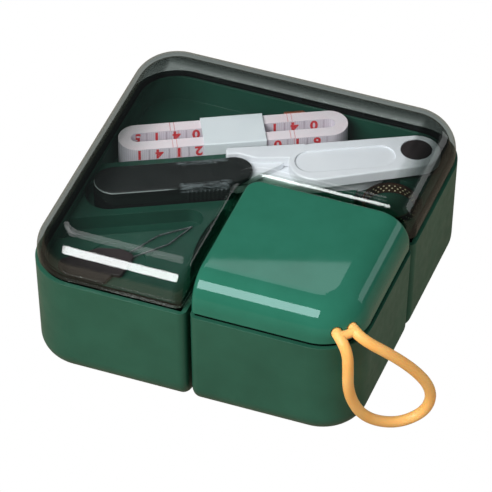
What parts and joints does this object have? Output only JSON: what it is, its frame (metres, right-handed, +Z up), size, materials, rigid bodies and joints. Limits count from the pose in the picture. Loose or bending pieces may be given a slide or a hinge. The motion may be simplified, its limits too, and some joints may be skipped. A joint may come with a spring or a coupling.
{
  "type": "sewing box with trays",
  "caption": "Square rounded sewing box in two parts, an L-shaped box with a clear lid over a tray of sewing tools and a small lidded box in its corner with a carrying loop.",
  "frame": {"origin": "centre of the square footprint, on the table", "axes": "+Z up, front is -Y, right is +X; the small box stands in the front right corner"},
  "size_m": [0.2062, 0.1773, 0.082],
  "materials": {
    "green_body": "satin",
    "green_tray": "satin",
    "green_gloss": "gloss",
    "smoky_clear": "clear gloss",
    "orange_cord": "satin",
    "tape_pale": "satin",
    "white_plastic": "satin",
    "steel": "brushed",
    "black_plastic": "satin",
    "brass_dark": "aged",
    "brown_plastic": "matt"
  },
  "bodies": {
    "main_box": {"main_body": "green_body"},
    "main_lid": {"main_lid": "smoky_clear"},
    "main_tray": {"main_tray": "green_tray"},
    "tape": {"tape_ribbon": "tape_pale", "tape_tip": "steel"},
    "tape_band": {"tape_band": "white_plastic"},
    "snips": {"snips_handle": "white_plastic", "handle_disc": "brown_plastic", "snips_upper_blade": "steel", "snips_pivot": "steel"},
    "snips_lower": {"snips_lever": "white_plastic", "snips_lower_blade": "steel"},
    "sheath": {"snips_sheath": "black_plastic", "sheath_pin": "black_plastic"},
    "thimble": {"thimble_ring": "brass_dark"},
    "threader": {"threader_plate": "brown_plastic", "threader_wire": "steel"},
    "small_box": {"small_body": "green_body"},
    "small_lid": {"small_lid": "green_gloss", "loop_cord": "orange_cord", "loop_retainer": "green_tray"},
    "small_tray": {"small_tray": "green_tray"}
  },
  "joints": [
    {"name": "main_lid_lift", "type": "slide", "parent": "main_box", "child": "main_lid", "axis": [0, 0, 1], "range_m": [0, 0.25]},
    {"name": "main_tray_lift", "type": "slide", "parent": "main_box", "child": "main_tray", "axis": [0, 0, 1], "range_m": [0, 0.0385]},
    {"name": "tape_lift", "type": "slide", "parent": "main_tray", "child": "tape", "axis": [0, 0, 1], "range_m": [0, 0.1135]},
    {"name": "band_slide", "type": "slide", "parent": "tape", "child": "tape_band", "axis": [0.8886, 0.4587, 0], "range_m": [-0.03, 0.01]},
    {"name": "snips_lift", "type": "slide", "parent": "main_tray", "child": "snips", "axis": [0, 0, 1], "range_m": [0, 0.131]},
    {"name": "snips_open", "type": "hinge", "parent": "snips", "child": "snips_lower", "pos_m": [-0.0123, 0.01729, 0.0575], "axis": [0, 0, 1], "range_deg": [-7.9, 0]},
    {"name": "sheath_pull", "type": "slide", "parent": "snips", "child": "sheath", "axis": [-0.8886, -0.4587, 0], "range_m": [0, 0.061]},
    {"name": "thimble_lift", "type": "slide", "parent": "main_tray", "child": "thimble", "axis": [0, 0, 1], "range_m": [0, 0.0385]},
    {"name": "threader_lift", "type": "slide", "parent": "main_tray", "child": "threader", "axis": [0, 0, 1], "range_m": [0, 0.0385]},
    {"name": "small_box_pull", "type": "slide", "parent": "main_box", "child": "small_box", "axis": [0.7071, -0.7071, 0], "range_m": [0, 0.09]},
    {"name": "small_lid_lift", "type": "slide", "parent": "small_box", "child": "small_lid", "axis": [0, 0, 1], "range_m": [0, 0.12]},
    {"name": "small_tray_lift", "type": "slide", "parent": "small_box", "child": "small_tray", "axis": [0, 0, 1], "range_m": [0, 0.049]}
  ],
  "couplings": [
    {"joint": "main_tray_lift", "follows": "main_lid_lift", "ratio": 0.15},
    {"joint": "tape_lift", "follows": "main_lid_lift", "ratio": 0.45},
    {"joint": "snips_lift", "follows": "main_lid_lift", "ratio": 0.52},
    {"joint": "snips_open", "follows": "main_lid_lift", "rad_per_m": -0.5236},
    {"joint": "sheath_pull", "follows": "main_lid_lift", "ratio": 0.24},
    {"joint": "thimble_lift", "follows": "main_lid_lift", "ratio": 0.15},
    {"joint": "threader_lift", "follows": "main_lid_lift", "ratio": 0.15},
    {"joint": "small_tray_lift", "follows": "small_lid_lift", "ratio": 0.4}
  ]
}
